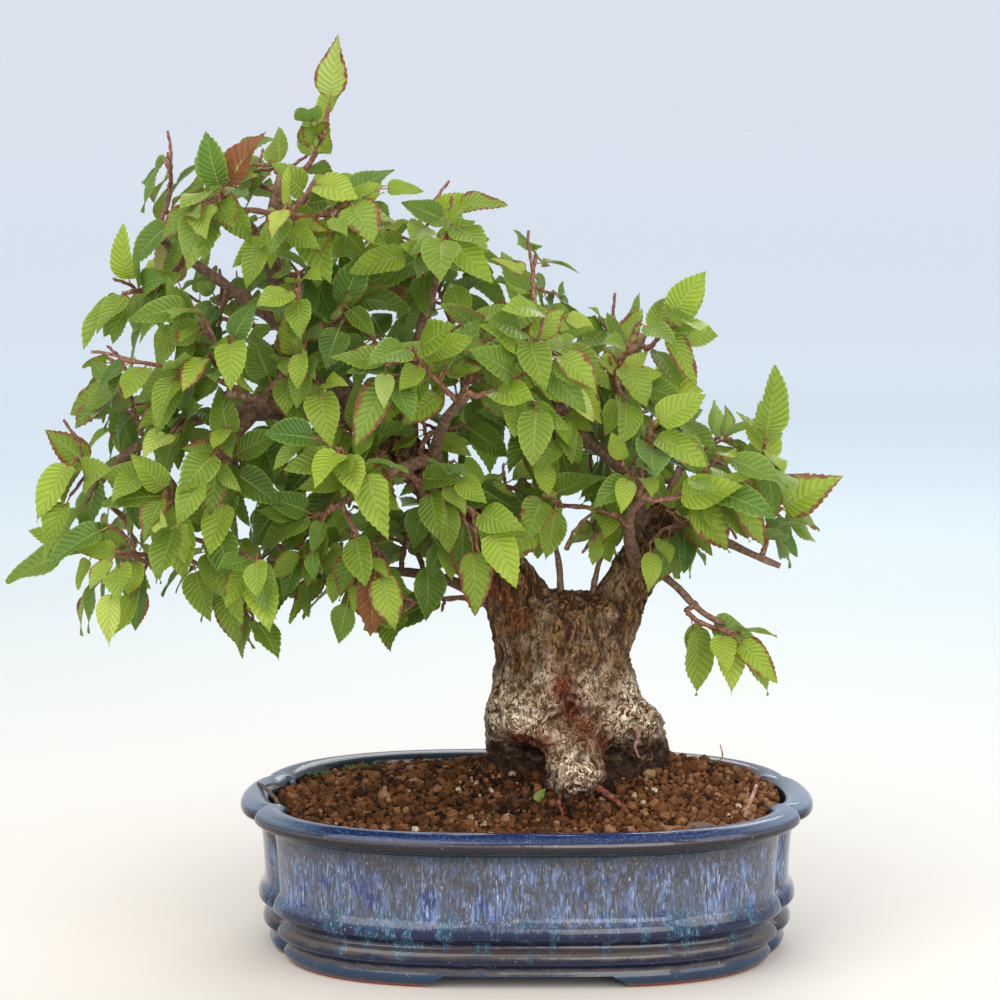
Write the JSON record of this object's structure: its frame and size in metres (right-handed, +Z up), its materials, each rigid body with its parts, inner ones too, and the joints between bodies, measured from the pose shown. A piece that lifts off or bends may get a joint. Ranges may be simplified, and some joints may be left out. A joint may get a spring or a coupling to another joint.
{
  "type": "korean hornbeam bonsai",
  "caption": "Trained hornbeam tree with a burled trunk and a wide leafy crown, standing in a four-lobed oval glazed pot on two low feet.",
  "frame": {"origin": "middle of the bounding box, on the ground plane under the pot's feet", "axes": "+Z up along the tree, -Y towards the front of the pot, +X to the right seen from the front"},
  "size_m": [0.3483, 0.178, 0.3787],
  "materials": {
    "blue_glaze": "gloss",
    "clay_granules": "matte",
    "hornbeam_bark": "matte",
    "black_plastic_mesh": "matte",
    "dry_wood": "matte",
    "leaf_green": "satin"
  },
  "bodies": {
    "root": {"pot": "blue_glaze", "soil": "clay_granules", "trunk": "hornbeam_bark", "drainage_screen_left": "black_plastic_mesh", "drainage_screen_right": "black_plastic_mesh", "bark_chip": "dry_wood", "dry_stalk": "dry_wood", "leafy_spray_01": "leaf_green", "leafy_spray_02": "leaf_green", "leafy_spray_03": "leaf_green", "leafy_spray_04": "leaf_green", "leafy_spray_05": "leaf_green", "leafy_spray_06": "leaf_green", "leafy_spray_07": "leaf_green", "leafy_spray_08": "leaf_green", "leafy_spray_09": "leaf_green", "leafy_spray_10": "leaf_green", "leafy_spray_11": "leaf_green", "leafy_spray_12": "leaf_green", "leafy_spray_13": "leaf_green", "leafy_spray_14": "leaf_green", "leafy_spray_15": "leaf_green", "leafy_spray_16": "leaf_green", "leafy_spray_17": "leaf_green", "leafy_spray_18": "leaf_green", "leafy_spray_19": "leaf_green", "leafy_spray_20": "leaf_green", "leafy_spray_21": "leaf_green", "leafy_spray_22": "leaf_green", "leafy_spray_23": "leaf_green", "leafy_spray_24": "leaf_green", "leafy_spray_25": "leaf_green", "leafy_spray_26": "leaf_green", "leafy_spray_27": "leaf_green", "leafy_spray_28": "leaf_green", "leafy_spray_29": "leaf_green", "leafy_spray_30": "leaf_green", "leafy_spray_31": "leaf_green", "leafy_spray_32": "leaf_green", "leafy_spray_33": "leaf_green", "leafy_spray_34": "leaf_green", "leafy_spray_35": "leaf_green", "leafy_spray_36": "leaf_green", "leafy_spray_37": "leaf_green", "leafy_spray_38": "leaf_green", "leafy_spray_39": "leaf_green"}
  },
  "joints": []
}
